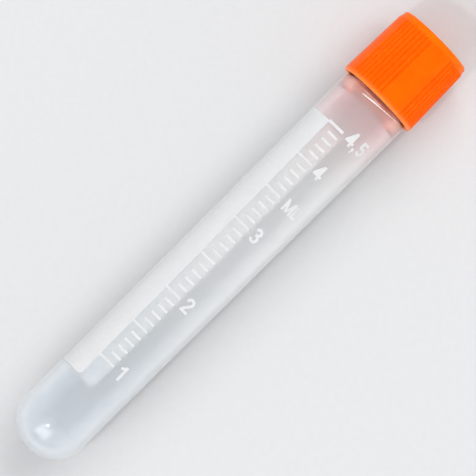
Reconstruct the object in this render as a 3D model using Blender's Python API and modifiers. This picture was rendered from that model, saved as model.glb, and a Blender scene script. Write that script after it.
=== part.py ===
"""A 4.5 mL round-bottomed sample tube with a ribbed screw cap, lying on its side.

Every part is turned about one axis. Heights are measured along that axis from the lowest point
of the round bottom, and angles around it from the side that faces up, to the right as seen from
above with the cap away from the viewer. The empty "tube_axis" lays that axis along world +X,
with the cap at the +X end, so that the widest part of the cap touches the ground at Z = 0.
"""
import math

import bmesh
import bpy
from mathutils import Matrix

MM = 0.001

# Overall
TOTAL_LENGTH = 92.0 * MM

# Fineness: flats around the axis, and flats along each rounded edge of a profile
ROUND_STEPS = 52
DOME_STEPS = 12
INNER_FLOOR_STEPS = 8
WIDE_ROUND_STEPS = 5
SMALL_ROUND_STEPS = 3
SEAL_ROUND_STEPS = 2

# Tube wall: the bore and the outside both widen slightly towards the mouth
DOME_RADIUS = 6.10 * MM
BODY_TOP_RADIUS = 6.35 * MM
FLOOR_THICKNESS = 1.50 * MM
BORE_BOTTOM_RADIUS = 4.55 * MM
BORE_TOP_RADIUS = 4.70 * MM
BORE_TOP_HEIGHT = 75.6 * MM
SHOULDER_HEIGHT = 78.1 * MM
SHOULDER_ROUND = 0.70 * MM

# Threaded neck
NECK_RADIUS = 5.30 * MM
NECK_BORE_RADIUS = 4.30 * MM
NECK_BORE_HEIGHT = 77.0 * MM
NECK_FILLET = 0.30 * MM
MOUTH_HEIGHT = 89.7 * MM
MOUTH_ROUND = 0.30 * MM

# Thread: one right-hand start. The cap's ridge starts a quarter turn on from the neck's, below it
THREAD_PITCH = 4.0 * MM
NECK_RIDGE_RADIUS = 0.50 * MM
NECK_RIDGE_START = 80.2 * MM
NECK_RIDGE_TURNS = 1.75
CAP_RIDGE_RADIUS = 0.45 * MM
CAP_RIDGE_PATH_RADIUS = 6.10 * MM
CAP_RIDGE_TURNS = 1.5
CAP_RIDGE_LEAD = 0.25
RIDGE_SPACING = 1.20 * MM
CAP_RIDGE_START = NECK_RIDGE_START + THREAD_PITCH * CAP_RIDGE_LEAD - RIDGE_SPACING
THREAD_STEPS_PER_TURN = 26
THREAD_TAPER_POINTS = 5
THREAD_TIP_SHARE = 0.4

# Cap: its gripping wall narrows upwards, and steps in to a plain crown just below the top
CAP_RIM_HEIGHT = 78.5 * MM
CAP_RIM_RADIUS = 7.20 * MM
CAP_RIM_ROUND = 0.25 * MM
GRIP_TOP_RADIUS = 6.87 * MM
GRIP_TOP_HEIGHT = 90.2 * MM
CROWN_RADIUS = 6.66 * MM
CROWN_HEIGHT = 90.9 * MM
CROWN_ROUND = 0.55 * MM
CAP_BORE_RADIUS = 6.15 * MM
CAP_BORE_HEIGHT = 89.2 * MM
CAP_LEAD_IN = 0.25 * MM
SEAL_POCKET_RADIUS = 5.75 * MM
SEAL_POCKET_HEIGHT = 89.6 * MM
CAP_CEILING_HEIGHT = 90.9 * MM
CAP_SPIN = math.radians(-4.0)

# Grip: four groups of ribs, left standing between grooves, with a smooth panel after each group
GROOVE_GROUPS = 4
GROOVES_PER_GROUP = 8
GROOVE_PITCHES = 52
GROOVE_CUTTER_RADIUS = 0.30 * MM
GROOVE_CUTTER_SIDES = 8
GROOVE_DEPTH = 0.20 * MM
GROOVE_BOTTOM_HEIGHT = 79.0 * MM
GROOVE_TOP_HEIGHT = 91.5 * MM

# Sealing washer
SEAL_OUTER_RADIUS = 5.45 * MM
SEAL_INNER_RADIUS = 3.60 * MM
SEAL_BOTTOM_HEIGHT = 90.0 * MM
SEAL_TOP_HEIGHT = 90.6 * MM
SEAL_ROUND = 0.15 * MM

# Writing patch: a film of ink around the left and lower sides
PATCH_BOTTOM_HEIGHT = 14.0 * MM
PATCH_TOP_HEIGHT = 70.5 * MM
PATCH_START = math.radians(-25.5)
PATCH_SWEEP = math.radians(-158.2)
PATCH_CLEARANCE = 0.05 * MM
PATCH_THICKNESS = 0.08 * MM
PATCH_STEPS = 26

MERGE = 0.00001


def clear_scene():
    for old in list(bpy.data.objects):
        bpy.data.objects.remove(old, do_unlink=True)


def new_collection(name):
    collection = bpy.data.collections.new(name)
    bpy.context.scene.collection.children.link(collection)
    return collection


def plastic(name, colour, roughness, transmission=0.0):
    material = bpy.data.materials.new(name)
    material.use_nodes = True
    shader = material.node_tree.nodes["Principled BSDF"]
    shader.inputs["Base Color"].default_value = (*colour, 1.0)
    shader.inputs["Roughness"].default_value = roughness
    shader.inputs["Metallic"].default_value = 0.0
    shader.inputs["Transmission Weight"].default_value = transmission
    return material


def arc(centre_radius, centre_height, radius, first_degrees, last_degrees, steps):
    """Points on a round, with 0 degrees pointing outwards and 90 degrees towards the cap."""
    points = []
    for step in range(steps + 1):
        angle = math.radians(first_degrees + (last_degrees - first_degrees) * step / steps)
        outwards = radius * math.cos(angle)
        upwards = radius * math.sin(angle)
        points.append((centre_radius + outwards, centre_height + upwards))
    return points


def body_radius(height):
    """Outside radius of the tube wall at a height above the dome."""
    share = (height - DOME_RADIUS) / (SHOULDER_HEIGHT - SHOULDER_ROUND - DOME_RADIUS)
    return DOME_RADIUS + (BODY_TOP_RADIUS - DOME_RADIUS) * share


def cap_radius(height):
    """Outside radius of the cap's gripping wall at a height."""
    share = (height - CAP_RIM_HEIGHT) / (GRIP_TOP_HEIGHT - CAP_RIM_HEIGHT)
    return CAP_RIM_RADIUS + (GRIP_TOP_RADIUS - CAP_RIM_RADIUS) * share


def profile_object(name, points, collection, closed=False):
    """An object that holds a profile as a chain of edges, to be turned about its Z axis."""
    mesh = bpy.data.meshes.new(name)
    edges = [(index, index + 1) for index in range(len(points) - 1)]
    if closed:
        edges.append((len(points) - 1, 0))
    mesh.from_pydata([(radius, 0.0, height) for radius, height in points], edges, [])
    profile = bpy.data.objects.new(name, mesh)
    collection.objects.link(profile)
    return profile


def turn(profile, steps=ROUND_STEPS, angle=2.0 * math.pi):
    screw = profile.modifiers.new("turned", "SCREW")
    screw.axis = "Z"
    screw.angle = angle
    screw.steps = steps
    screw.render_steps = steps
    screw.use_merge_vertices = True
    screw.merge_threshold = MERGE
    screw.use_smooth_shade = True


def combine(target, tool, operation):
    boolean = target.modifiers.new(tool.name, "BOOLEAN")
    boolean.operation = operation
    boolean.solver = "EXACT"
    boolean.object = tool


def as_tool(tool):
    tool.hide_render = True
    tool.display_type = "WIRE"


def thread_ridge(name, path_radius, ridge_radius, start_height, start_angle, turns, collection, parent):
    """A round ridge wound up the thread, with tapered ends, as a mesh that can be joined on."""
    count = int(THREAD_STEPS_PER_TURN * turns)
    curve = bpy.data.curves.new(name, "CURVE")
    curve.dimensions = "3D"
    curve.bevel_depth = ridge_radius
    curve.bevel_resolution = 2
    curve.use_fill_caps = True
    spline = curve.splines.new("POLY")
    spline.points.add(count)
    for index, point in enumerate(spline.points):
        turned = 2.0 * math.pi * turns * index / count
        angle = start_angle + turned
        height = start_height + THREAD_PITCH * turned / (2.0 * math.pi)
        point.co = (path_radius * math.cos(angle), path_radius * math.sin(angle), height, 1.0)
        tapered = min(index, count - index) / THREAD_TAPER_POINTS
        point.radius = min(1.0, THREAD_TIP_SHARE + (1.0 - THREAD_TIP_SHARE) * tapered)
    wound = bpy.data.objects.new(name + "_curve", curve)
    collection.objects.link(wound)
    graph = bpy.context.evaluated_depsgraph_get()
    mesh = bpy.data.meshes.new_from_object(wound.evaluated_get(graph))
    shape = bmesh.new()
    shape.from_mesh(mesh)
    bmesh.ops.remove_doubles(shape, verts=shape.verts, dist=MERGE)
    shape.to_mesh(mesh)
    shape.free()
    bpy.data.objects.remove(wound, do_unlink=True)
    ridge = bpy.data.objects.new(name, mesh)
    collection.objects.link(ridge)
    ridge.parent = parent
    as_tool(ridge)
    return ridge


def groove_cutters(name, collection, parent):
    """One mesh of slim cylinders that lie along the cap's sloping wall."""
    bottom_radius = cap_radius(GROOVE_BOTTOM_HEIGHT)
    top_radius = cap_radius(GROOVE_TOP_HEIGHT)
    rise = GROOVE_TOP_HEIGHT - GROOVE_BOTTOM_HEIGHT
    lean = math.atan2(top_radius - bottom_radius, rise)
    middle_radius = (bottom_radius + top_radius) / 2.0 + GROOVE_CUTTER_RADIUS - GROOVE_DEPTH
    middle_height = (GROOVE_BOTTOM_HEIGHT + GROOVE_TOP_HEIGHT) / 2.0
    upright = Matrix.Translation((middle_radius, 0.0, middle_height)) @ Matrix.Rotation(lean, 4, "Y")
    group_spacing = GROOVE_PITCHES // GROOVE_GROUPS
    shape = bmesh.new()
    for group in range(GROOVE_GROUPS):
        for groove in range(GROOVES_PER_GROUP):
            position = group * group_spacing - groove
            around = Matrix.Rotation(2.0 * math.pi * position / GROOVE_PITCHES, 4, "Z")
            bmesh.ops.create_cone(
                shape, cap_ends=True, segments=GROOVE_CUTTER_SIDES, radius1=GROOVE_CUTTER_RADIUS,
                radius2=GROOVE_CUTTER_RADIUS, depth=rise, matrix=around @ upright)
    mesh = bpy.data.meshes.new(name)
    shape.to_mesh(mesh)
    shape.free()
    cutters = bpy.data.objects.new(name, mesh)
    collection.objects.link(cutters)
    cutters.parent = parent
    as_tool(cutters)
    return cutters


def tube_profile():
    """Inner floor, bore, mouth, neck, shoulder, outer wall and dome, in that order."""
    floor_centre = FLOOR_THICKNESS + BORE_BOTTOM_RADIUS
    inner_floor = arc(0.0, floor_centre, BORE_BOTTOM_RADIUS, -90.0, 0.0, INNER_FLOOR_STEPS)
    bore = [(BORE_TOP_RADIUS, BORE_TOP_HEIGHT), (NECK_BORE_RADIUS, NECK_BORE_HEIGHT)]
    lip_inside = (NECK_BORE_RADIUS + MOUTH_ROUND, MOUTH_HEIGHT - MOUTH_ROUND)
    mouth = arc(*lip_inside, MOUTH_ROUND, 180.0, 90.0, SMALL_ROUND_STEPS)
    lip_outside = (NECK_RADIUS - MOUTH_ROUND, MOUTH_HEIGHT - MOUTH_ROUND)
    mouth += arc(*lip_outside, MOUTH_ROUND, 90.0, 0.0, SMALL_ROUND_STEPS)
    foot_centre = (NECK_RADIUS + NECK_FILLET, SHOULDER_HEIGHT + NECK_FILLET)
    neck_foot = arc(*foot_centre, NECK_FILLET, 180.0, 270.0, SMALL_ROUND_STEPS)
    shoulder_centre = (BODY_TOP_RADIUS - SHOULDER_ROUND, SHOULDER_HEIGHT - SHOULDER_ROUND)
    shoulder = arc(*shoulder_centre, SHOULDER_ROUND, 90.0, 0.0, WIDE_ROUND_STEPS)
    dome = arc(0.0, DOME_RADIUS, DOME_RADIUS, 0.0, -90.0, DOME_STEPS)
    return inner_floor + bore + mouth + neck_foot + shoulder + dome


def cap_profile():
    """Top face, crown, gripping wall, rim, bore, seal pocket and ceiling, in that order."""
    top = [(0.0, TOTAL_LENGTH)]
    crown_centre = (CROWN_RADIUS - CROWN_ROUND, TOTAL_LENGTH - CROWN_ROUND)
    top += arc(*crown_centre, CROWN_ROUND, 90.0, 0.0, WIDE_ROUND_STEPS)
    top += [(CROWN_RADIUS, CROWN_HEIGHT), (GRIP_TOP_RADIUS, GRIP_TOP_HEIGHT)]
    rim_centre = (CAP_RIM_RADIUS - CAP_RIM_ROUND, CAP_RIM_HEIGHT + CAP_RIM_ROUND)
    rim = arc(*rim_centre, CAP_RIM_ROUND, 0.0, -90.0, SMALL_ROUND_STEPS)
    bore = [
        (CAP_BORE_RADIUS + CAP_LEAD_IN, CAP_RIM_HEIGHT),
        (CAP_BORE_RADIUS, CAP_RIM_HEIGHT + CAP_LEAD_IN),
        (CAP_BORE_RADIUS, CAP_BORE_HEIGHT),
        (SEAL_POCKET_RADIUS, SEAL_POCKET_HEIGHT),
        (SEAL_POCKET_RADIUS, CAP_CEILING_HEIGHT),
        (0.0, CAP_CEILING_HEIGHT),
    ]
    return top + rim + bore


def seal_profile():
    """Section of the washer, down its outer side and back up its bore."""
    low = SEAL_BOTTOM_HEIGHT + SEAL_ROUND
    high = SEAL_TOP_HEIGHT - SEAL_ROUND
    outer = SEAL_OUTER_RADIUS - SEAL_ROUND
    inner = SEAL_INNER_RADIUS + SEAL_ROUND
    section = arc(outer, high, SEAL_ROUND, 90.0, 0.0, SEAL_ROUND_STEPS)
    section += arc(outer, low, SEAL_ROUND, 0.0, -90.0, SEAL_ROUND_STEPS)
    section += arc(inner, low, SEAL_ROUND, 270.0, 180.0, SEAL_ROUND_STEPS)
    section += arc(inner, high, SEAL_ROUND, 180.0, 90.0, SEAL_ROUND_STEPS)
    return section


def make_tube_body(parts, tools, axis):
    tube = profile_object("tube_body", tube_profile(), parts)
    tube.parent = axis
    turn(tube)
    ridge = thread_ridge(
        "neck_ridge", NECK_RADIUS, NECK_RIDGE_RADIUS, NECK_RIDGE_START, 0.0, NECK_RIDGE_TURNS, tools, axis)
    combine(tube, ridge, "UNION")
    tube.data.materials.append(plastic("clear_polypropylene", (0.78, 0.80, 0.82), 0.35, 0.6))


def make_screw_cap(parts, tools, axis):
    """The cap's own zero angle is turned by CAP_SPIN from the tube's, its thread is not."""
    cap = profile_object("screw_cap", cap_profile(), parts)
    cap.parent = axis
    cap.rotation_euler = (0.0, 0.0, CAP_SPIN)
    turn(cap)
    start_angle = 2.0 * math.pi * CAP_RIDGE_LEAD - CAP_SPIN
    ridge = thread_ridge(
        "cap_ridge", CAP_RIDGE_PATH_RADIUS, CAP_RIDGE_RADIUS, CAP_RIDGE_START, start_angle,
        CAP_RIDGE_TURNS, tools, cap)
    combine(cap, ridge, "UNION")
    combine(cap, groove_cutters("grip_grooves", tools, cap), "DIFFERENCE")
    cap.data.materials.append(plastic("orange_polypropylene", (1.0, 0.13, 0.0), 0.38))


def make_seal_ring(parts, axis):
    seal = profile_object("seal_ring", seal_profile(), parts, closed=True)
    seal.parent = axis
    turn(seal)
    seal.data.materials.append(plastic("white_silicone", (0.82, 0.82, 0.80), 0.55))


def make_writing_patch(parts, axis):
    line = []
    for height in (PATCH_TOP_HEIGHT, PATCH_BOTTOM_HEIGHT):
        line.append((body_radius(height) + PATCH_CLEARANCE, height))
    patch = profile_object("writing_patch", line, parts)
    patch.parent = axis
    patch.rotation_euler = (0.0, 0.0, PATCH_START)
    turn(patch, PATCH_STEPS, PATCH_SWEEP)
    film = patch.modifiers.new("film", "SOLIDIFY")
    film.thickness = PATCH_THICKNESS
    film.offset = -1.0
    patch.data.materials.append(plastic("white_ink", (0.86, 0.86, 0.87), 0.6))


def main():
    clear_scene()
    parts = new_collection("test_tube")
    tools = new_collection("tools")
    axis = bpy.data.objects.new("tube_axis", None)
    parts.objects.link(axis)
    axis.location = (-TOTAL_LENGTH / 2.0, 0.0, CAP_RIM_RADIUS)
    axis.rotation_euler = (math.pi, -math.pi / 2.0, 0.0)
    make_tube_body(parts, tools, axis)
    make_screw_cap(parts, tools, axis)
    make_seal_ring(parts, axis)
    make_writing_patch(parts, axis)


main()
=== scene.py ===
"""Studio view of a 4.5 mL round-bottomed sample tube with a ribbed screw cap, lying on its side.

Heights are measured along the tube's axis from the lowest point of its round bottom, and angles
around that axis from the side that faces up, towards world -Y. What is printed on the wall is laid
out flat first: u runs around the tube from the patch's rear edge, and t is the height.
"""
import math
from itertools import pairwise

import bmesh
import bpy
import numpy as np
from mathutils import Matrix, Vector
from mathutils.geometry import delaunay_2d_cdt


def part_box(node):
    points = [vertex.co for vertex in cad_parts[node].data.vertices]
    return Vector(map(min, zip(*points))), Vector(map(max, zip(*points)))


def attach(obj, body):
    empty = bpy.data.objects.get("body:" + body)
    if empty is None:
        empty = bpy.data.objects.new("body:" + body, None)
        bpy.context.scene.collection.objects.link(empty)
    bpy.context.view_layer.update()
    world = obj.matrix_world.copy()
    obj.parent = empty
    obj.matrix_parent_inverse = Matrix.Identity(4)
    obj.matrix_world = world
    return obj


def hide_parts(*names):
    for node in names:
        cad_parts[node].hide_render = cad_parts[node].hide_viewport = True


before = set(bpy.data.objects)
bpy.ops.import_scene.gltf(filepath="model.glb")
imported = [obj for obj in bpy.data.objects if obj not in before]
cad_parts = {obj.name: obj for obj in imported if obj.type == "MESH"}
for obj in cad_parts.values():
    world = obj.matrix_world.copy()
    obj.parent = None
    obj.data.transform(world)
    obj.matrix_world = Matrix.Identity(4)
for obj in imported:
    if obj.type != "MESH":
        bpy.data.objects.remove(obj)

MM = 0.001
TINY = 0.001 * MM
FULL_TURN = 2.0 * math.pi
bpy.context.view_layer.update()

# Places and sizes that the frame gives
TUBE_LOW, TUBE_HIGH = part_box("tube_body")
CAP_LOW, CAP_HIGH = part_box("screw_cap")
SEAL_LOW, SEAL_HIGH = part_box("seal_ring")
PATCH_LOW, PATCH_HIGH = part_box("writing_patch")
BOTTOM_X = TUBE_LOW.x
AXIS_Z = (TUBE_LOW.z + TUBE_HIGH.z) / 2.0
BODY_TOP_RADIUS = (TUBE_HIGH.z - TUBE_LOW.z) / 2.0
MOUTH_HEIGHT = TUBE_HIGH.x - BOTTOM_X
CAP_RIM_HEIGHT = CAP_LOW.x - BOTTOM_X
TOTAL_LENGTH = CAP_HIGH.x - BOTTOM_X
SEAL_BOTTOM_HEIGHT = SEAL_LOW.x - BOTTOM_X
SEAL_TOP_HEIGHT = SEAL_HIGH.x - BOTTOM_X
SEAL_OUTER_RADIUS = (SEAL_HIGH.z - SEAL_LOW.z) / 2.0
PATCH_BOTTOM_HEIGHT = PATCH_LOW.x - BOTTOM_X
PATCH_TOP_HEIGHT = PATCH_HIGH.x - BOTTOM_X

# Meshes: edges turning by more than SHARP_ANGLE stay sharp, and a point within ON_WALL of a wall's
# radius lies on that wall
SHARP_ANGLE = math.radians(50.0)
ON_WALL = 0.01 * MM
SMALL_ROUND_STEPS = 6

# Tube
TUBE_COLUMNS = 256
DOME_RADIUS = 6.10 * MM
FLOOR_THICKNESS = 1.50 * MM
FLOOR_STEPS = 24
BORE_BOTTOM_RADIUS = 4.55 * MM
BORE_TOP_RADIUS = 4.70 * MM
BORE_TOP_HEIGHT = 75.6 * MM
SHOULDER_HEIGHT = 78.42 * MM
SHOULDER_ROUND = 0.82 * MM
SHOULDER_STEPS = 26
NECK_RADIUS = 5.30 * MM
NECK_BORE_RADIUS = 4.30 * MM
NECK_BORE_HEIGHT = 77.0 * MM
NECK_BORE_ROWS = 12
NECK_FILLET = 0.30 * MM
MOUTH_ROUND = 0.30 * MM
WALL_ROW = 3.0 * MM
PARTING_HEIGHT = 6.0 * MM
PARTING_WIDTH = 0.14 * MM
PARTING_RISE = 0.02 * MM
PARTING_MARGIN = 0.4 * MM
PARTING_ROW = 0.035 * MM

# The round bottom's arcs, finest at the parting ring and at the gate: degrees, degrees, steps
DOME_ARCS = ((0.0, -5.0, 16), (-5.0, -80.0, 30), (-80.0, -90.0, 16))

# Mark of the mould's gate, under the tube and on top of the cap: a nub in a dish
GATE_DISH_RADIUS = 0.95 * MM
GATE_DISH_DEPTH = 0.08 * MM
GATE_NUB_RADIUS = 0.40 * MM
GATE_NUB_FLAT = 0.6
GATE_NUB_DEPTH = 0.032 * MM
GATE_ROW = 0.13 * MM
GATE_ROWS_END = 1.04 * MM

# How far the patch's outline is turned back where the bore shows it
BORE_PATCH_TURN = math.radians(4.5)

# Share of light that the plastic lets straight through at each face of the wall
WALL_CLARITY = 0.68
BORE_CLARITY = 1.0
PATCH_AND_HIGHLIGHT_CLARITY = 0.0
WALL_SHEEN = 0.4

# The wall's colour at heights along the tube: cool in the round bottom, and with painted light near
# the shoulder, an orange glow that stands in for the cap's light shining into the plastic
WALL_TINTS_AND_CAP_GLOW = (
    (8.0 * MM, (0.900, 0.935, 0.970)),
    (48.0 * MM, (0.990, 0.995, 1.0)),
    (61.0 * MM, (0.990, 0.990, 0.992)),
    (67.0 * MM, (0.985, 0.945, 0.942)),
    (75.6 * MM, (0.985, 0.752, 0.750)),
    (77.4 * MM, (1.0, 0.560, 0.480)),
    (78.4 * MM, (1.0, 0.380, 0.250)),
    (79.4 * MM, (0.990, 0.990, 0.992)),
)

# The same where the patch shows through the wall, and on the crease's line, a painted highlight
PATCH_AND_HIGHLIGHT_TINTS = (
    (0.0, (1.0, 0.985, 0.965)),
    (TOTAL_LENGTH, (1.0, 0.975, 0.955)),
)

# Thread: one right-hand start. The cap's ridge runs below the neck's
THREAD_PITCH = 4.0 * MM
THREAD_START = 80.2 * MM
THREAD_TURNS = 1.75
THREAD_RISE = 0.50 * MM
THREAD_HALF_WIDTH = 0.62 * MM
THREAD_TAPER = math.radians(60.0)
THREAD_ROW = 0.12 * MM
CAP_THREAD_LAG = 1.20 * MM
CAP_THREAD_LEAD = math.radians(90.0)
CAP_THREAD_TURNS = 1.5

# Crease that climbs the shoulder at the thread's pitch: steep below, and sloping off towards the
# cap. Its band, below the shoulder's top, holds the whole of it
CREASE_START = 77.17 * MM
CREASE_START_ANGLE = math.radians(-19.0)
CREASE_END_ANGLE = math.radians(68.0)
CREASE_RUN_IN = math.radians(5.0)
CREASE_RUN_OUT = math.radians(35.0)
CREASE_RISE = 0.085 * MM
CREASE_STEEP_WIDTH = 0.06 * MM
CREASE_SLOPE_WIDTH = 0.26 * MM
# Width of the crease's painted highlight where it starts; it narrows towards its end
CREASE_HIGHLIGHT_WIDTH = 0.06 * MM
CREASE_BAND = 2.0 * MM
CREASE_FOOT = 76.9 * MM
CREASE_ROW = 0.04 * MM

# Cap
CAP_RIM_RADIUS = 7.20 * MM
CAP_RIM_ROUND = 0.25 * MM
GRIP_TOP_RADIUS = 6.87 * MM
GRIP_TOP_HEIGHT = 90.6 * MM
GRIP_ROW = 1.5 * MM
CROWN_RADIUS = 6.66 * MM
CROWN_HEIGHT = 91.1 * MM
CROWN_ROUND = 0.55 * MM
CROWN_STEPS = 10
CAP_TOP_RING = 4.0 * MM
CAP_BORE_RADIUS = 6.15 * MM
CAP_BORE_HEIGHT = 89.2 * MM
CAP_LEAD_IN = 0.25 * MM
CAP_LEAD_IN_STEPS = 5
SEAL_POCKET_RADIUS = 5.75 * MM
SEAL_POCKET_HEIGHT = 89.6 * MM
CAP_CEILING_HEIGHT = 90.9 * MM
CAP_SPIN = math.radians(-4.0)

# Where the grip steps in to the crown, and its rows
CROWN_STEP_MARGIN = 0.1 * MM
CROWN_STEP_LOW = GRIP_TOP_HEIGHT - CROWN_STEP_MARGIN
CROWN_STEP_HIGH = CROWN_HEIGHT + CROWN_STEP_MARGIN
CROWN_STEP_ROWS = 18

# The cap's colour at heights along the tube, with painted highlights: yellower at its rim, and
# slightly so on its crown
CAP_TINTS_AND_HIGHLIGHTS = (
    (78.6 * MM, (1.0, 0.240, 0.055)),
    (79.3 * MM, (1.0, 0.122, 0.001)),
    (90.5 * MM, (1.0, 0.122, 0.001)),
    (91.2 * MM, (1.0, 0.160, 0.002)),
)

# Grip: four groups of ribs, left standing between grooves, with a smooth panel after each group
GROOVE_PITCHES = 52
GROOVE_GROUPS = 4
GROOVES_PER_GROUP = 8
COLUMNS_PER_PITCH = 12
GROOVE_DEPTH = 0.24 * MM
GROOVE_HALF_WIDTH = 0.38 * MM
GROOVE_FOOT_HEIGHT = 79.0 * MM
GROOVE_FOOT_RISE = 0.5 * MM
GROOVE_FOOT_ROW = 0.08 * MM

# Washer
SEAL_COLUMNS = 128
SEAL_INNER_RADIUS = 3.60 * MM
SEAL_ROUND = 0.15 * MM
SEAL_ROUND_STEPS = 5

# Ink: the writing patch, the volume marks and the numerals
PATCH_REAR_ANGLE = math.radians(-183.75)
PATCH_WIDTH = 17.2 * MM
PATCH_FRONT_CORNER = 0.7 * MM
PATCH_REAR_CORNER = 1.2 * MM
CORNER_STEPS = 8
MARK_END = 20.3 * MM
SHORT_MARK_START = 18.3 * MM
MARK_STROKE = 0.40 * MM
LAST_MARK_STROKE = 0.50 * MM
FIRST_TENTH = 10
LAST_TENTH = 45
LONG_MARK_EVERY = 5
SCALE_VOLUMES = (1.0, 2.0, 3.0, 4.5)
SCALE_HEIGHTS = (18.59 * MM, 33.60 * MM, 49.08 * MM, 70.47 * MM)
WHOLE_VOLUMES = (1, 2, 3, 4)
NUMERAL_START = 21.15 * MM
NUMERAL_DROP = 1.20 * MM
LAST_NUMERAL = (("4", 0.0), (",", 1.85 * MM), ("5", 2.70 * MM))
LAST_NUMERAL_DROP = 0.95 * MM
UNIT = (("M", 0.0), ("L", 2.10 * MM))
UNIT_START = 21.52 * MM
UNIT_HEIGHT = 55.02 * MM
BOWL_POINTS = 19
MITRE_LIMIT = 0.35
INK_LIFT = 0.004 * MM
INK_THICKNESS = 0.020 * MM
INK_SLICE = 0.25 * MM
MERGE_DISTANCE_MM = 0.0001

# Blender's number for a triangulation that fills only the area inside the outlines
INSIDE_OUTLINES = 1

# Materials. Nearly all the values of a noise lie in its span
POLYPROPYLENE_IOR = 1.49
NOISE_SPAN = (0.3, 0.7)
WIDE_NOISE_SPAN = (0.25, 0.75)

# Studio
FLOOR_HALF_SIZE = 3.0
ROOM_COLOUR = (0.96, 0.98, 1.0, 1.0)
ROOM_STRENGTH = 0.66
CAMERA_TARGET = Vector((1.28 * MM, 0.0, 7.2 * MM))
CAMERA_DISTANCE = 1.2917
CAMERA_REACH = 20.0
CAMERA_LEAN = math.radians(3.075)
CAMERA_ROLL = math.radians(44.92)
VIEW_WIDTH = 75.76 * MM
SENSOR_WIDTH = 36.0


# ---------------------------------------------------------------- shapes

def smoothstep(low, high, value):
    """0 at low and before it, 1 at high and beyond it, and a smooth curve between them."""
    share = np.clip((value - low) / (high - low), 0.0, 1.0)
    return share * share * (3.0 - 2.0 * share)


def hump(distance, half_width):
    """A rounded ridge of height 1 on its middle line and 0 beyond half_width."""
    inside = np.clip(np.abs(distance) / half_width, 0.0, 1.0)
    return 0.5 + 0.5 * np.cos(math.pi * inside)


def arc(centre_radius, centre_height, radius, first_degrees, last_degrees, steps):
    """Points on a round, with 0 degrees pointing outwards and 90 degrees towards the cap."""
    angles = np.radians(np.linspace(first_degrees, last_degrees, steps + 1))
    radii = centre_radius + radius * np.cos(angles)
    heights = centre_height + radius * np.sin(angles)
    return list(zip(radii, heights))


def straight(first, last, step):
    """Points from first to last, both (radius, height), about one step apart."""
    count = max(1, round(math.dist(first, last) / step))
    shares = np.linspace(0.0, 1.0, count + 1)
    return [tuple(np.array(first) * (1.0 - share) + np.array(last) * share) for share in shares]


def wall_radius(height):
    """Outside radius of the tube's wall, between the dome and the shoulder."""
    straight_top = SHOULDER_HEIGHT - SHOULDER_ROUND
    share = (height - DOME_RADIUS) / (straight_top - DOME_RADIUS)
    return DOME_RADIUS + (BODY_TOP_RADIUS - DOME_RADIUS) * share


def wall_point(height):
    """(radius, height) of a point on the tube's wall."""
    return wall_radius(height), height


def grip_radius(height):
    """Outside radius of the cap's gripping wall."""
    share = (height - CAP_RIM_HEIGHT) / (GRIP_TOP_HEIGHT - CAP_RIM_HEIGHT)
    return CAP_RIM_RADIUS + (GRIP_TOP_RADIUS - CAP_RIM_RADIUS) * share


def place(radius, height, angle):
    """World coordinates of points given by their radius, height and angle."""
    x = BOTTOM_X + height
    y = -radius * np.sin(angle)
    z = AXIS_Z + radius * np.cos(angle)
    return np.stack(np.broadcast_arrays(x, y, z), axis=-1)


def ring_angles(columns):
    """Angles of evenly spaced columns, once round the axis."""
    return np.linspace(0.0, FULL_TURN, columns, endpoint=False)


def mesh_object(name, points, faces):
    """A closed mesh with its faces pointing out, smooth but for its real edges."""
    mesh = bpy.data.meshes.new(name)
    mesh.from_pydata([tuple(point) for point in points], [], faces)
    shape = bmesh.new()
    shape.from_mesh(mesh)
    bmesh.ops.recalc_face_normals(shape, faces=shape.faces)
    shape.to_mesh(mesh)
    shape.free()
    mesh.shade_smooth()
    mesh.set_sharp_from_angle(angle=SHARP_ANGLE)
    made = bpy.data.objects.new(name, mesh)
    bpy.context.scene.collection.objects.link(made)
    return made


def turned(name, profile, angles, relief=None, closed=False):
    """Turns a profile of (radius, height) about the axis.

    The profile is closed, or it starts and ends on the axis. relief(radius, height, angles) says
    how far each point of a ring stands out from the profile.
    """
    columns = len(angles)
    profile = np.array(profile)
    ahead = np.roll(profile, -1, axis=0)
    behind = np.roll(profile, 1, axis=0)
    if not closed:
        ahead[-1], behind[0] = profile[-1], profile[0]
    along = ahead - behind
    outwards = np.stack([-along[:, 1], along[:, 0]], axis=1)
    outwards /= np.linalg.norm(outwards, axis=1)[:, None]
    points = []
    rings = []
    for (radius, height), (out_radius, out_height) in zip(profile, outwards):
        start = len(points)
        if radius == 0.0:
            points.append(place(0.0, height, 0.0))
            rings.append([start] * columns)
            continue
        rise = relief(radius, height, angles) if relief else np.zeros(columns)
        points.extend(place(radius + rise * out_radius, height + rise * out_height, angles))
        rings.append(list(range(start, start + columns)))
    if closed:
        rings.append(rings[0])
    faces = []
    for lower, upper in pairwise(rings):
        for column in range(columns):
            following = (column + 1) % columns
            corners = [lower[column], lower[following], upper[following], upper[column]]
            faces.append(list(dict.fromkeys(corners)))
    return mesh_object(name, points, faces)


def helix_relief(height, angles, start_height, start_angle, turns):
    """A thread's rounded ridge, at one height, with both of its ends tapered."""
    rise = np.zeros(len(angles))
    for turn in range(math.ceil(turns) + 1):
        turned_by = (angles - start_angle) % FULL_TURN + FULL_TURN * turn
        centre = start_height + THREAD_PITCH * turned_by / FULL_TURN
        left = FULL_TURN * turns - turned_by
        taper = smoothstep(0.0, THREAD_TAPER, turned_by) * smoothstep(0.0, THREAD_TAPER, left)
        rise = np.maximum(rise, taper * hump(height - centre, THREAD_HALF_WIDTH))
    return THREAD_RISE * rise


def gate_mark(radius):
    """Depth of the mark left by a mould's gate: a shallow dish round a low nub."""
    dish = smoothstep(GATE_DISH_RADIUS, GATE_NUB_RADIUS, radius)
    nub = smoothstep(GATE_NUB_RADIUS * GATE_NUB_FLAT, GATE_NUB_RADIUS, radius)
    return GATE_DISH_DEPTH * dish * nub


# ---------------------------------------------------------------- tube

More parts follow.
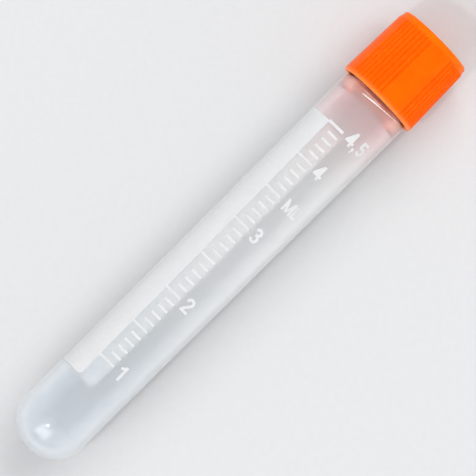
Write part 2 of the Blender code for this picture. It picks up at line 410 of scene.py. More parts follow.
def bore_profile():
    """Inner floor and bore, in that order, with a row at each edge of the patch outside."""
    floor_centre = FLOOR_THICKNESS + BORE_BOTTOM_RADIUS
    profile = arc(0.0, floor_centre, BORE_BOTTOM_RADIUS, -90.0, 0.0, FLOOR_STEPS)
    profile[0] = (0.0, FLOOR_THICKNESS)
    corner_heights = PATCH_BOTTOM_HEIGHT + np.linspace(0.0, PATCH_REAR_CORNER, CORNER_STEPS + 1)
    for height in (*corner_heights, PATCH_TOP_HEIGHT):
        share = (height - floor_centre) / (BORE_TOP_HEIGHT - floor_centre)
        radius = BORE_BOTTOM_RADIUS + (BORE_TOP_RADIUS - BORE_BOTTOM_RADIUS) * share
        profile.append((radius, height))
    for height in np.linspace(BORE_TOP_HEIGHT, NECK_BORE_HEIGHT, NECK_BORE_ROWS):
        step = smoothstep(BORE_TOP_HEIGHT, NECK_BORE_HEIGHT, height)
        profile.append((BORE_TOP_RADIUS + (NECK_BORE_RADIUS - BORE_TOP_RADIUS) * step, height))
    return profile


def outside_profile():
    """Mouth, neck, shoulder, outer wall and dome, in that order."""
    steps = SMALL_ROUND_STEPS
    lip_height = MOUTH_HEIGHT - MOUTH_ROUND
    profile = arc(NECK_BORE_RADIUS + MOUTH_ROUND, lip_height, MOUTH_ROUND, 180.0, 90.0, steps)
    profile += arc(NECK_RADIUS - MOUTH_ROUND, lip_height, MOUTH_ROUND, 90.0, 0.0, steps)
    foot_height = SHOULDER_HEIGHT + NECK_FILLET
    profile += straight((NECK_RADIUS, lip_height), (NECK_RADIUS, foot_height), THREAD_ROW)[1:]
    profile += arc(NECK_RADIUS + NECK_FILLET, foot_height, NECK_FILLET, 180.0, 270.0, steps)[1:]
    round_height = SHOULDER_HEIGHT - SHOULDER_ROUND
    round_centre = BODY_TOP_RADIUS - SHOULDER_ROUND
    profile += arc(round_centre, round_height, SHOULDER_ROUND, 90.0, 0.0, SHOULDER_STEPS)
    wall_top = (BODY_TOP_RADIUS, round_height)
    profile += straight(wall_top, wall_point(CREASE_FOOT), CREASE_ROW)[1:]
    ring_top = PARTING_HEIGHT + PARTING_MARGIN
    levels = (CREASE_FOOT, PATCH_TOP_HEIGHT, PATCH_BOTTOM_HEIGHT, ring_top)
    for above, below in pairwise(levels):
        profile += straight(wall_point(above), wall_point(below), WALL_ROW)[1:]
    profile += straight(wall_point(ring_top), (DOME_RADIUS, DOME_RADIUS), PARTING_ROW)[1:]
    for first_degrees, last_degrees, count in DOME_ARCS:
        profile += arc(0.0, DOME_RADIUS, DOME_RADIUS, first_degrees, last_degrees, count)[1:]
    profile[-1] = (0.0, GATE_NUB_DEPTH)
    return profile


def tube_relief(radius, height, angles):
    """The thread on the neck, the crease on the shoulder, the parting ring and the gate mark."""
    rise = np.zeros(len(angles))
    if radius < BORE_TOP_RADIUS and height > FLOOR_THICKNESS:
        return rise
    if height > SHOULDER_HEIGHT and abs(radius - NECK_RADIUS) < ON_WALL:
        rise += helix_relief(height, angles, THREAD_START, 0.0, THREAD_TURNS)
    if SHOULDER_HEIGHT - CREASE_BAND < height <= SHOULDER_HEIGHT:
        rise += shoulder_crease(height, angles)
    if radius > BORE_TOP_RADIUS:
        rise += PARTING_RISE * hump(height - PARTING_HEIGHT, PARTING_WIDTH)
    return rise - gate_mark(radius)


def above_crease(height, angle):
    """How far a point of the shoulder lies above the crease's line."""
    return height - CREASE_START - THREAD_PITCH * (angle - CREASE_START_ANGLE) / FULL_TURN


def shoulder_crease(height, angles):
    """How far the crease stands out, at one height."""
    signed = (angles + math.pi) % FULL_TURN - math.pi
    above = above_crease(height, signed)
    run_in = smoothstep(CREASE_START_ANGLE - CREASE_RUN_IN, CREASE_START_ANGLE, signed)
    run_out = 1.0 - smoothstep(CREASE_END_ANGLE - CREASE_RUN_OUT, CREASE_END_ANGLE, signed)
    steep = np.clip(1.0 + above / CREASE_STEEP_WIDTH, 0.0, 1.0)
    slope = np.clip(1.0 - above / CREASE_SLOPE_WIDTH, 0.0, 1.0)
    return CREASE_RISE * run_in * run_out * np.minimum(steep, slope)


def on_crease(corners):
    """Says whether a face of the outside lies on the crease's painted highlight line."""
    x, y, z = sum(corners, Vector()) / len(corners)
    angle = math.atan2(-y, z - AXIS_Z)
    above = above_crease(x - BOTTOM_X, angle)
    start = CREASE_START_ANGLE - CREASE_RUN_IN / 2.0
    faded = float(smoothstep(CREASE_START_ANGLE, CREASE_END_ANGLE, angle))
    on_highlight = -CREASE_STEEP_WIDTH / 2.0 < above < CREASE_HIGHLIGHT_WIDTH * (1.0 - faded)
    return on_highlight and start < angle < CREASE_END_ANGLE


def under_patch(corners):
    """Says whether a face of the bore lies where the writing patch shows through the wall."""
    rear = PATCH_REAR_CORNER
    for x, y, z in corners:
        height = x - BOTTOM_X
        from_rear = math.atan2(-y, z - AXIS_Z) - PATCH_REAR_ANGLE + BORE_PATCH_TURN
        around = from_rear % FULL_TURN * wall_radius(height)
        if height + TINY < PATCH_BOTTOM_HEIGHT or height - TINY > PATCH_TOP_HEIGHT:
            return False
        if around > PATCH_WIDTH:
            return False
        to_corner = Vector((rear - around, PATCH_BOTTOM_HEIGHT + rear - height))
        if min(to_corner) > 0.0 and to_corner.length > rear + TINY:
            return False
    return True


def make_tube():
    bore = bore_profile()
    profile = bore + outside_profile()
    tube = turned("sample_tube", profile, ring_angles(TUBE_COLUMNS), tube_relief)
    plastics = (
        tube_plastic("milky_polypropylene", WALL_CLARITY, WALL_TINTS_AND_CAP_GLOW, WALL_SHEEN),
        tube_plastic("milky_polypropylene_bore", BORE_CLARITY, WALL_TINTS_AND_CAP_GLOW),
        tube_plastic("patch_and_highlight_polypropylene", PATCH_AND_HIGHLIGHT_CLARITY, PATCH_AND_HIGHLIGHT_TINTS),
    )
    for plastic in plastics:
        tube.data.materials.append(plastic)
    wall, bore_wall, patch_or_highlight = range(len(plastics))
    bore_faces = len(bore) * TUBE_COLUMNS
    for face in tube.data.polygons:
        corners = [tube.data.vertices[index].co for index in face.vertices]
        if face.index < bore_faces:
            face.material_index = patch_or_highlight if under_patch(corners) else bore_wall
        else:
            # The crease's line takes the opaque white plastic as a painted highlight
            face.material_index = patch_or_highlight if on_crease(corners) else wall
    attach(tube, "tube")
    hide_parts("tube_body")


# ---------------------------------------------------------------- cap

def cap_profile():
    """Top, crown, gripping wall, rim, bore, seal pocket and ceiling, in that order."""
    profile = [(0.0, TOTAL_LENGTH - GATE_NUB_DEPTH)]
    profile += straight((GATE_ROW, TOTAL_LENGTH), (GATE_ROWS_END, TOTAL_LENGTH), GATE_ROW)
    profile.append((CAP_TOP_RING, TOTAL_LENGTH))
    crown_foot = TOTAL_LENGTH - CROWN_ROUND
    crown_centre = CROWN_RADIUS - CROWN_ROUND
    profile += arc(crown_centre, crown_foot, CROWN_ROUND, 90.0, 0.0, CROWN_STEPS)
    for height in np.linspace(CROWN_STEP_HIGH, CROWN_STEP_LOW, CROWN_STEP_ROWS):
        step = 1.0 - smoothstep(CROWN_STEP_LOW, CROWN_STEP_HIGH, height)
        profile.append((CROWN_RADIUS + (GRIP_TOP_RADIUS - CROWN_RADIUS) * step, height))
    foot_height = GROOVE_FOOT_HEIGHT + GROOVE_FOOT_RISE
    foot = (grip_radius(foot_height), foot_height)
    profile += straight((GRIP_TOP_RADIUS, CROWN_STEP_LOW), foot, GRIP_ROW)[1:]
    rim_height = CAP_RIM_HEIGHT + CAP_RIM_ROUND
    profile += straight(foot, (CAP_RIM_RADIUS, rim_height), GROOVE_FOOT_ROW)[1:]
    rim_centre = CAP_RIM_RADIUS - CAP_RIM_ROUND
    profile += arc(rim_centre, rim_height, CAP_RIM_ROUND, 0.0, -90.0, SMALL_ROUND_STEPS)[1:]
    lead_in_centre = CAP_BORE_RADIUS + CAP_LEAD_IN
    profile += arc(lead_in_centre, rim_height, CAP_LEAD_IN, -90.0, -180.0, CAP_LEAD_IN_STEPS)
    bore_foot = (CAP_BORE_RADIUS, rim_height)
    profile += straight(bore_foot, (CAP_BORE_RADIUS, CAP_BORE_HEIGHT), THREAD_ROW)[1:]
    profile.append((SEAL_POCKET_RADIUS, SEAL_POCKET_HEIGHT))
    profile.append((SEAL_POCKET_RADIUS, CAP_CEILING_HEIGHT))
    profile.append((0.0, CAP_CEILING_HEIGHT))
    return profile


def cap_relief(radius, height, angles):
    """The thread's ridge in the bore, the gate mark on top, and the grooves of the grip."""
    if abs(radius - CAP_BORE_RADIUS) < ON_WALL and height > CAP_RIM_HEIGHT + CAP_RIM_ROUND:
        neck_height = THREAD_START + THREAD_PITCH * CAP_THREAD_LEAD / FULL_TURN
        start_height = neck_height - CAP_THREAD_LAG
        return helix_relief(height, angles, start_height, CAP_THREAD_LEAD, CAP_THREAD_TURNS)
    if height == TOTAL_LENGTH:
        return np.full(len(angles), -gate_mark(radius))
    if radius < CROWN_RADIUS - TINY or height > CROWN_STEP_HIGH:
        return np.zeros(len(angles))
    group_angle = FULL_TURN / GROOVE_GROUPS
    pitch_angle = FULL_TURN / GROOVE_PITCHES
    back = (CAP_SPIN - angles) % group_angle
    nearest = np.round(back / pitch_angle)
    in_group = (nearest < GROOVES_PER_GROUP) | (back > group_angle - pitch_angle / 2.0)
    offset = np.abs(back - nearest * pitch_angle) * radius
    depth = radius - CROWN_RADIUS if height > CROWN_STEP_LOW else GROOVE_DEPTH
    foot = smoothstep(GROOVE_FOOT_HEIGHT, GROOVE_FOOT_HEIGHT + GROOVE_FOOT_RISE, height)
    return -min(depth, GROOVE_DEPTH) * foot * in_group * hump(offset, GROOVE_HALF_WIDTH)


def make_cap():
    angles = CAP_SPIN + ring_angles(GROOVE_PITCHES * COLUMNS_PER_PITCH)
    cap = turned("ribbed_screw_cap", cap_profile(), angles, cap_relief)
    cap.data.materials.append(cap_plastic())
    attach(cap, "cap")
    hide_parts("screw_cap")


def make_seal():
    low = SEAL_BOTTOM_HEIGHT + SEAL_ROUND
    high = SEAL_TOP_HEIGHT - SEAL_ROUND
    outer = SEAL_OUTER_RADIUS - SEAL_ROUND
    inner = SEAL_INNER_RADIUS + SEAL_ROUND
    profile = arc(outer, high, SEAL_ROUND, 90.0, 0.0, SEAL_ROUND_STEPS)
    profile += arc(outer, low, SEAL_ROUND, 0.0, -90.0, SEAL_ROUND_STEPS)
    profile += arc(inner, low, SEAL_ROUND, 270.0, 180.0, SEAL_ROUND_STEPS)
    profile += arc(inner, high, SEAL_ROUND, 180.0, 90.0, SEAL_ROUND_STEPS)
    seal = turned("sealing_washer", profile, ring_angles(SEAL_COLUMNS), closed=True)
    seal.data.materials.append(silicone())
    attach(seal, "seal")
    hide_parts("seal_ring")


# ---------------------------------------------------------------- print

def flat_arc(centre_u, centre_t, across, up, first_degrees, last_degrees, count):
    """Points on an arc of the flat layout, which may be taller than it is wide."""
    angles = np.radians(np.linspace(first_degrees, last_degrees, count))
    return [(centre_u + across * math.cos(angle), centre_t + up * math.sin(angle))
            for angle in angles]


def round_corner(centre_u, centre_t, radius, first_degrees, last_degrees):
    """Points on one of the writing patch's corners."""
    count = CORNER_STEPS + 1
    return flat_arc(centre_u, centre_t, radius, radius, first_degrees, last_degrees, count)


def bowl(centre_u, centre_t, across, up, first_degrees, last_degrees):
    """Points on the rounded part of a numeral."""
    return flat_arc(centre_u, centre_t, across, up, first_degrees, last_degrees, BOWL_POINTS)


def stroke(points, width):
    """The outline of a pen stroke with square ends and mitred corners."""
    path = [Vector(point) for point in points]
    left = []
    right = []
    for index, point in enumerate(path):
        before = (point - path[index - 1]).normalized() if index else None
        after = (path[index + 1] - point).normalized() if index < len(path) - 1 else None
        first = before or after
        second = after or before
        normal = Vector((-first.y - second.y, first.x + second.x)).normalized()
        reach = width / 2.0 / max(MITRE_LIMIT, normal.dot(Vector((-first.y, first.x))))
        left.append(tuple(point + normal * reach))
        right.append(tuple(point - normal * reach))
    return left + right[::-1]


# Each character is a list of strokes: a width and the points of its middle line, in millimetres,
# from the left end of its base line
CHARACTERS = {
    "1": [
        (0.50, [(0.98, 0.0), (0.98, 2.70)]),
        (0.46, [(0.12, 1.88), (0.98, 2.46)]),
    ],
    "2": [
        (0.50, bowl(0.80, 1.90, 0.55, 0.56, 188.0, -22.0) + [(0.36, 0.46)]),
        (0.46, [(0.04, 0.23), (1.62, 0.23)]),
        (0.46, [(0.30, 0.10), (0.62, 0.84)]),
    ],
    "3": [
        (0.48, bowl(0.72, 1.95, 0.50, 0.51, 165.0, -75.0) + [(0.50, 1.42)]),
        (0.48, [(0.50, 1.42)] + bowl(0.74, 0.82, 0.55, 0.58, 75.0, -165.0)),
    ],
    "4": [
        (0.46, [(1.16, 0.0), (1.16, 2.70)]),
        (0.44, [(0.02, 0.74), (1.72, 0.74)]),
        (0.46, [(0.20, 0.76), (1.12, 2.56)]),
    ],
    "5": [
        (0.46, [(1.44, 2.34), (0.40, 2.34), (0.34, 1.30)]),
        (0.48, bowl(0.76, 0.82, 0.56, 0.58, 140.0, -160.0)),
    ],
    ",": [
        (0.48, [(0.26, 0.44), (0.26, 0.0)]),
        (0.26, [(0.34, 0.06), (0.12, -0.50)]),
    ],
    "M": [
        (0.42, [(0.22, 0.0), (0.22, 2.24)]),
        (0.42, [(1.70, 0.0), (1.70, 2.24)]),
        (0.40, [(0.24, 2.16), (0.96, 0.10)]),
        (0.40, [(1.68, 2.16), (0.96, 0.10)]),
    ],
    "L": [
        (0.42, [(0.22, 0.0), (0.22, 2.24)]),
        (0.42, [(0.05, 0.21), (1.06, 0.21)]),
    ],
}


def written(characters, start_u, base_t):
    """Outlines of characters on the flat layout, each given with how far along it starts."""
    outlines = []
    for character, offset in characters:
        left = start_u + offset
        for width, points in CHARACTERS[character]:
            moved = [(left + u * MM, base_t + t * MM) for u, t in points]
            outlines.append(stroke(moved, width * MM))
    return outlines


def bar(first_u, last_u, middle_t, width):
    """The outline of one volume mark."""
    low = middle_t - width / 2.0
    high = middle_t + width / 2.0
    return [(first_u, low), (last_u, low), (last_u, high), (first_u, high)]


def merged(outlines):
    """Points and triangles of the flat area inside these outlines."""
    # They are merged in millimetres, where their sizes are far above the merge distance
    corners = []
    loops = []
    for outline in outlines:
        loops.append(list(range(len(corners), len(corners) + len(outline))))
        corners += [Vector(point) / MM for point in outline]
    flat, _, triangles, *_ = delaunay_2d_cdt(
        corners, [], loops, INSIDE_OUTLINES, MERGE_DISTANCE_MM)
    return [(u * MM, t * MM) for u, t in flat], triangles


def flat_film(outlines):
    """A flat closed film inside these outlines, sliced across u so that it can bend."""
    flat, triangles = merged(outlines)
    count = len(flat)
    points = [(u, t, INK_LIFT) for u, t in flat]
    points += [(u, t, INK_LIFT + INK_THICKNESS) for u, t in flat]
    faces = []
    borders = {}
    for triangle in triangles:
        faces.append([index + count for index in triangle])
        faces.append(list(reversed(triangle)))
        for first, second in zip(triangle, triangle[1:] + triangle[:1]):
            if borders.pop((second, first), None) is None:
                borders[(first, second)] = True
    for first, second in borders:
        faces.append([first, second, second + count, first + count])
    sheet = bpy.data.meshes.new("flat_film")
    sheet.from_pydata(points, [], faces)
    film = bmesh.new()
    film.from_mesh(sheet)
    bpy.data.meshes.remove(sheet)
    loose = [vertex for vertex in film.verts if not vertex.link_faces]
    bmesh.ops.delete(film, geom=loose, context="VERTS")
    first_u = min(u for u, _ in flat)
    last_u = max(u for u, _ in flat)
    for cut in np.arange(first_u + INK_SLICE, last_u, INK_SLICE):
        everything = film.verts[:] + film.edges[:] + film.faces[:]
        bmesh.ops.bisect_plane(
            film, geom=everything, plane_co=(cut, 0.0, 0.0), plane_no=(1.0, 0.0, 0.0))
    bmesh.ops.remove_doubles(film, verts=film.verts, dist=TINY)
    return film


def ink(name, outlines, replaced=None):
    """A thin closed film of ink with these outlines, wrapped round the tube."""
    film = flat_film(outlines)
    film.verts.index_update()
    wrapped = []
    for vertex in film.verts:
        u, height, lift = vertex.co
        wall = wall_radius(height)
        wrapped.append(place(wall + lift, height, PATCH_REAR_ANGLE + u / wall))
    faces = [[vertex.index for vertex in face.verts] for face in film.faces]
    film.free()
    printed = mesh_object(name, wrapped, faces)
    printed.data.materials.append(white_ink())
    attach(printed, "tube")
    if replaced:
        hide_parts(replaced)


def make_patch():
    """The writing patch, with three rounded corners and a square one where the last mark starts."""
    front = PATCH_FRONT_CORNER
    rear = PATCH_REAR_CORNER
    bottom = PATCH_BOTTOM_HEIGHT
    outline = round_corner(rear, bottom + rear, rear, 180.0, 270.0)
    outline += round_corner(PATCH_WIDTH - front, bottom + front, front, 270.0, 360.0)
    outline += [(PATCH_WIDTH, PATCH_TOP_HEIGHT)]
    outline += round_corner(rear, PATCH_TOP_HEIGHT - rear, rear, 90.0, 180.0)
    ink("printed_writing_patch", [outline], "writing_patch")


def mark_height(volume):
    """Height of the mark for a volume in millilitres."""
    return float(np.interp(volume, SCALE_VOLUMES, SCALE_HEIGHTS))


def make_marks():
    """One mark for each tenth of a millilitre; those for each half reach the patch."""
    outlines = []
    for tenth in range(FIRST_TENTH, LAST_TENTH + 1):
        start = PATCH_WIDTH if tenth % LONG_MARK_EVERY == 0 else SHORT_MARK_START
        width = LAST_MARK_STROKE if tenth == LAST_TENTH else MARK_STROKE
        outlines.append(bar(start, MARK_END, mark_height(tenth / 10.0), width))
    ink("volume_marks", outlines)


def make_numerals():
    outlines = []
    for volume in WHOLE_VOLUMES:
        base = mark_height(volume) - NUMERAL_DROP
        outlines += written([(str(volume), 0.0)], NUMERAL_START, base)
    base = mark_height(LAST_TENTH / 10.0) - LAST_NUMERAL_DROP
    outlines += written(LAST_NUMERAL, NUMERAL_START, base)
    ink("volume_numerals", outlines)
    ink("volume_unit", written(UNIT, UNIT_START, UNIT_HEIGHT))


# ---------------------------------------------------------------- materials

def new_material(name, ior):
    material = bpy.data.materials.new(name)
    material.use_nodes = True
    tree = material.node_tree
    shader = tree.nodes["Principled BSDF"]
    shader.inputs["IOR"].default_value = ior
    return material, tree, shader


def object_coordinates(tree):
    return tree.nodes.new("ShaderNodeTexCoord").outputs["Object"]


def object_noise(tree, scale, detail, stretch=(1.0, 1.0, 1.0)):
    """Noise in the piece's own coordinates, with its scale in cycles per metre."""
    mapping = tree.nodes.new("ShaderNodeMapping")
    mapping.inputs["Scale"].default_value = stretch
    noise = tree.nodes.new("ShaderNodeTexNoise")
    noise.inputs["Scale"].default_value = scale
    noise.inputs["Detail"].default_value = detail
    tree.links.new(object_coordinates(tree), mapping.inputs["Vector"])
    tree.links.new(mapping.outputs["Vector"], noise.inputs["Vector"])
    return noise.outputs["Fac"]


def ranged(tree, value, source, target):
    """A value moved smoothly from the source range to the target range, each (low, high)."""
    node = tree.nodes.new("ShaderNodeMapRange")
    node.interpolation_type = "SMOOTHSTEP"
    node.inputs["From Min"].default_value, node.inputs["From Max"].default_value = source
    node.inputs["To Min"].default_value, node.inputs["To Max"].default_value = target
    tree.links.new(value, node.inputs["Value"])
    return node.outputs["Result"]


def noise_between(tree, low, high, scale, detail, span=NOISE_SPAN):
    """Noise whose values run from low to high."""
    return ranged(tree, object_noise(tree, scale, detail), span, (low, high))


def blended(tree, share, first, second, how="MIX"):
    """A colour between two, each a tuple or another node's output."""
    node = tree.nodes.new("ShaderNodeMix")
    node.data_type = "RGBA"
    node.blend_type = how
    tree.links.new(share, node.inputs["Factor"])
    sockets = [socket for socket in node.inputs if socket.type == "RGBA"]
    for socket, colour in zip(sockets, (first, second)):
        if isinstance(colour, tuple):
            socket.default_value = (*colour, 1.0)
        else:
            tree.links.new(colour, socket)
    return next(socket for socket in node.outputs if socket.type == "RGBA")


def add_bump(tree, shader, height, depth, strength):
    """Adds a bump, its depth in metres, on top of those that the shader has already."""
    bump = tree.nodes.new("ShaderNodeBump")
    bump.inputs["Distance"].default_value = depth
    bump.inputs["Strength"].default_value = strength
    tree.links.new(height, bump.inputs["Height"])
    normal = shader.inputs["Normal"]
    if normal.is_linked:
        tree.links.new(normal.links[0].from_socket, bump.inputs["Normal"])
    tree.links.new(bump.outputs["Normal"], normal)


def height_colours(tree, tints):
    """A colour that changes along the tube. Each tint is a height and the colour there."""
    split = tree.nodes.new("ShaderNodeSeparateXYZ")
    tree.links.new(object_coordinates(tree), split.inputs["Vector"])
    share = tree.nodes.new("ShaderNodeMapRange")
    share.inputs["From Min"].default_value = BOTTOM_X
    share.inputs["From Max"].default_value = BOTTOM_X + TOTAL_LENGTH
    tree.links.new(split.outputs["X"], share.inputs["Value"])
    ramp = tree.nodes.new("ShaderNodeValToRGB")
    ramp.color_ramp.interpolation = "EASE"
    stops = ramp.color_ramp.elements
    while len(stops) < len(tints):
        stops.new(1.0)
    for stop, (height, colour) in zip(stops, tints):
        stop.position = height / TOTAL_LENGTH
        stop.color = (*colour, 1.0)
    tree.links.new(share.outputs["Result"], ramp.inputs["Fac"])
    return ramp.outputs["Color"]


def calculated(tree, operation, *values):
    """A Math node's result. Each value is a number or another node's output."""
    node = tree.nodes.new("ShaderNodeMath")
    node.operation = operation
    for socket, value in zip(node.inputs, values):
        if isinstance(value, float):
            socket.default_value = value
        else:
            tree.links.new(value, socket)
    return node.outputs["Value"]


def rib_crests(tree):
    """0 on the floors of the cap's grooves, 1 on the ribs and everywhere above and below them."""
    split = tree.nodes.new("ShaderNodeSeparateXYZ")
    tree.links.new(object_coordinates(tree), split.inputs["Vector"])
    x, y, z = split.outputs
    up = calculated(tree, "SUBTRACT", z, AXIS_Z)
    up_squared = calculated(tree, "MULTIPLY", up, up)
    y_squared = calculated(tree, "MULTIPLY", y, y)
    radius = calculated(tree, "SQRT", calculated(tree, "ADD", y_squared, up_squared))
    slope = (GRIP_TOP_RADIUS - CAP_RIM_RADIUS) / (GRIP_TOP_HEIGHT - CAP_RIM_HEIGHT)
    wall = calculated(tree, "MULTIPLY_ADD", x, slope, grip_radius(0.0) - slope * BOTTOM_X)
    out = calculated(tree, "SUBTRACT", radius, wall)
    crest = ranged(tree, out, (-GROOVE_DEPTH, 0.0), (0.0, 1.0))
    middle = BOTTOM_X + (GROOVE_FOOT_HEIGHT + GRIP_TOP_HEIGHT) / 2.0
    half = (GRIP_TOP_HEIGHT - GROOVE_FOOT_HEIGHT) / 2.0
    away = calculated(tree, "ABSOLUTE", calculated(tree, "SUBTRACT", x, middle))
    beyond = ranged(tree, away, (half, half + GROOVE_FOOT_RISE), (0.0, 1.0))
    return calculated(tree, "MAXIMUM", crest, beyond)


def tube_plastic(name, clarity, tints, sheen=0.0):
    """Milky polypropylene: faintly cloudy and rippled, with a fine grain."""
    material, tree, shader = new_material(name, POLYPROPYLENE_IOR)
    shader.inputs["Transmission Weight"].default_value = clarity
    shader.inputs["Sheen Weight"].default_value = sheen
    cloud = noise_between(tree, 0.0, 1.0, scale=180.0, detail=3.0)
    cloud_tint = (0.975, 0.982, 0.988)
    # The wall's tints near the shoulder are painted light: the cap's orange glow
    colour = blended(tree, cloud, height_colours(tree, tints), cloud_tint, "MULTIPLY")
    tree.links.new(colour, shader.inputs["Base Color"])
    polish = noise_between(tree, 0.11, 0.19, scale=900.0, detail=4.0)
    tree.links.new(polish, shader.inputs["Roughness"])
    ripples = object_noise(tree, scale=260.0, detail=2.0, stretch=(0.25, 1.0, 1.0))
    add_bump(tree, shader, ripples, depth=0.05 * MM, strength=0.35)
    grain = object_noise(tree, scale=9000.0, detail=3.0)
    add_bump(tree, shader, grain, depth=0.004 * MM, strength=0.5)
    return material


def cap_plastic():
    """Orange polypropylene, slightly translucent, fine draw lines, painted shade in the grooves."""
    material, tree, shader = new_material("orange_polypropylene", POLYPROPYLENE_IOR)
    shader.inputs["Specular Tint"].default_value = (1.0, 0.5, 0.08, 1.0)
    shader.inputs["Specular IOR Level"].default_value = 0.12
    shader.inputs["Subsurface Weight"].default_value = 0.35
    shader.inputs["Subsurface Scale"].default_value = 0.15 * MM
    shader.inputs["Subsurface Radius"].default_value = (1.0, 0.35, 0.05)
    swirl = noise_between(tree, 0.0, 1.0, scale=320.0, detail=3.0)
    swirl_tint = (0.97, 0.86, 0.8)
    # The rim and crown colours are painted highlights
    colour = blended(tree, swirl, height_colours(tree, CAP_TINTS_AND_HIGHLIGHTS), swirl_tint, "MULTIPLY")
    # Painted shade: the floors of the grip's grooves are darker and redder
    groove_shade_share = calculated(tree, "SUBTRACT", 1.0, rib_crests(tree))
    groove_painted_shade = (0.92, 0.84, 0.9)
    colour = blended(tree, groove_shade_share, colour, groove_painted_shade, "MULTIPLY")
    tree.links.new(colour, shader.inputs["Base Color"])
    polish = noise_between(tree, 0.33, 0.44, scale=2500.0, detail=4.0)
    tree.links.new(polish, shader.inputs["Roughness"])
    draw_lines = object_noise(tree, scale=7000.0, detail=2.0, stretch=(0.06, 1.0, 1.0))
    add_bump(tree, shader, draw_lines, depth=0.006 * MM, strength=0.6)
    grain = object_noise(tree, scale=12000.0, detail=3.0)
    add_bump(tree, shader, grain, depth=0.004 * MM, strength=0.5)
    return material


def silicone():
    """White silicone with a faint bloom."""
    material, tree, shader = new_material("white_silicone", ior=1.42)
    shader.inputs["Roughness"].default_value = 0.5
    shader.inputs["Subsurface Weight"].default_value = 0.3
    shader.inputs["Subsurface Scale"].default_value = 0.5 * MM
    bloom = noise_between(tree, 0.0, 1.0, scale=1500.0, detail=4.0)
    colour = blended(tree, bloom, (0.84, 0.84, 0.82), (0.78, 0.78, 0.76))
    tree.links.new(colour, shader.inputs["Base Color"])
    grain = object_noise(tree, scale=8000.0, detail=3.0)
    add_bump(tree, shader, grain, depth=0.01 * MM, strength=0.6)
    return material


def white_ink():
    """Screen-printed ink, made once: matt and faintly uneven, with a fine grain."""
    name = "white_print_ink"
    found = bpy.data.materials.get(name)
    if found:
        return found
    material, tree, shader = new_material(name, ior=1.5)
    shader.inputs["Subsurface Weight"].default_value = 1.0
    shader.inputs["Subsurface Scale"].default_value = 0.03 * MM
    shader.inputs["Subsurface Radius"].default_value = (1.0, 1.0, 1.0)
    cover = noise_between(tree, 0.0, 1.0, scale=1400.0, detail=5.0, span=WIDE_NOISE_SPAN)
    colour = blended(tree, cover, (0.655, 0.655, 0.66), (0.625, 0.625, 0.63))
    tree.links.new(colour, shader.inputs["Base Color"])
    roughness = ranged(tree, cover, (0.0, 1.0), (0.5, 0.62))
    tree.links.new(roughness, shader.inputs["Roughness"])
    grain = object_noise(tree, scale=11000.0, detail=2.0)
    add_bump(tree, shader, grain, depth=0.005 * MM, strength=0.7)
    return material


def pale_paper():
    """Matt paper with faint fibres."""
    material, tree, shader = new_material("pale_paper", ior=1.45)
    shader.inputs["Roughness"].default_value = 0.8
    fibre = noise_between(tree, 0.0, 1.0, scale=900.0, detail=5.0)
    colour = blended(tree, fibre, (0.58, 0.58, 0.585), (0.57, 0.57, 0.575))
    tree.links.new(colour, shader.inputs["Base Color"])
    return material


# ---------------------------------------------------------------- studio

def make_floor():
    half = FLOOR_HALF_SIZE
    corners = [(-half, -half, 0.0), (half, -half, 0.0), (half, half, 0.0), (-half, half, 0.0)]
    mesh = bpy.data.meshes.new("studio_floor")
    mesh.from_pydata(corners, [], [(0, 1, 2, 3)])
    mesh.materials.append(pale_paper())
    floor = bpy.data.objects.new("studio_floor", mesh)
    bpy.context.scene.collection.objects.link(floor)


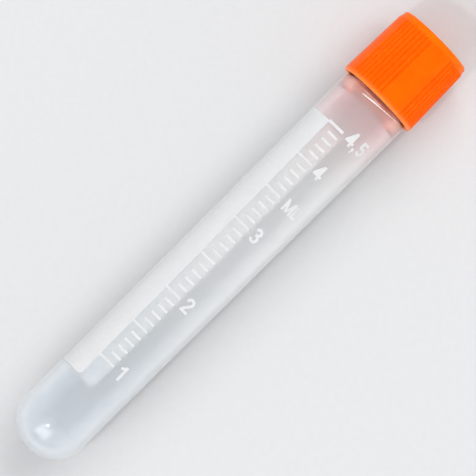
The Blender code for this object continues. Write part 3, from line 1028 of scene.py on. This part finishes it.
def add_light(name, side, lean, distance, size, power):
    """A softbox facing the tube. Its place is in metres and degrees, and its power in watts.

    side turns it from straight up towards -Y, and lean tips it towards the cap.
    """
    side_angle = math.radians(side)
    lean_angle = math.radians(lean)
    outwards = math.cos(lean_angle)
    towards = Vector((
        math.sin(lean_angle),
        -outwards * math.sin(side_angle),
        outwards * math.cos(side_angle),
    ))
    data = bpy.data.lights.new(name, "AREA")
    data.shape = "RECTANGLE"
    data.size, data.size_y = size
    data.energy = power
    light = bpy.data.objects.new(name, data)
    bpy.context.scene.collection.objects.link(light)
    across = Vector((1.0, 0.0, 0.0))
    across = (across - towards * across.dot(towards)).normalized()
    upright = towards.cross(across)
    turned_to = Matrix((across, upright, towards)).transposed().to_4x4()
    spot = towards * distance + Vector((0.0, 0.0, AXIS_Z))
    light.matrix_world = Matrix.Translation(spot) @ turned_to


def make_lights():
    add_light("main_softbox", side=-7.0, lean=38.0, distance=1.0, size=(0.22, 1.2), power=6.5)
    add_light("low_strip", side=76.0, lean=0.0, distance=0.7, size=(0.9, 0.30), power=0.7)
    add_light("left_strip", side=-92.0, lean=0.0, distance=0.8, size=(0.9, 0.25), power=0.1)
    add_light("spot_box", side=-5.0, lean=-27.0, distance=1.1, size=(0.06, 0.06), power=1.7)
    add_light("end_softbox", side=-2.0, lean=-56.0, distance=1.0, size=(0.5, 0.7), power=4.6)
    world = bpy.data.worlds.new("soft_room")
    bpy.context.scene.world = world
    world.use_nodes = True
    background = world.node_tree.nodes["Background"]
    background.inputs["Color"].default_value = ROOM_COLOUR
    background.inputs["Strength"].default_value = ROOM_STRENGTH


def make_camera():
    """Looks down on the tube, leaning towards its bottom end, with the tube rising to the right."""
    data = bpy.data.cameras.new("camera")
    data.sensor_width = SENSOR_WIDTH
    data.lens = SENSOR_WIDTH * CAMERA_DISTANCE / VIEW_WIDTH
    data.clip_end = CAMERA_REACH
    camera = bpy.data.objects.new("camera", data)
    bpy.context.scene.collection.objects.link(camera)
    back = Vector((-math.sin(CAMERA_LEAN), 0.0, math.cos(CAMERA_LEAN)))
    along = Vector((math.cos(CAMERA_LEAN), 0.0, math.sin(CAMERA_LEAN)))
    right_side = Vector((0.0, -1.0, 0.0))
    right = along * math.cos(CAMERA_ROLL) + right_side * math.sin(CAMERA_ROLL)
    up = along * math.sin(CAMERA_ROLL) - right_side * math.cos(CAMERA_ROLL)
    turned_to = Matrix((right, up, back)).transposed().to_4x4()
    camera.matrix_world = Matrix.Translation(CAMERA_TARGET + back * CAMERA_DISTANCE) @ turned_to
    bpy.context.scene.camera = camera


make_camera()
make_tube()
make_cap()
make_seal()
make_patch()
make_marks()
make_numerals()
make_floor()
make_lights()
bpy.context.scene.view_settings.view_transform = "Standard"
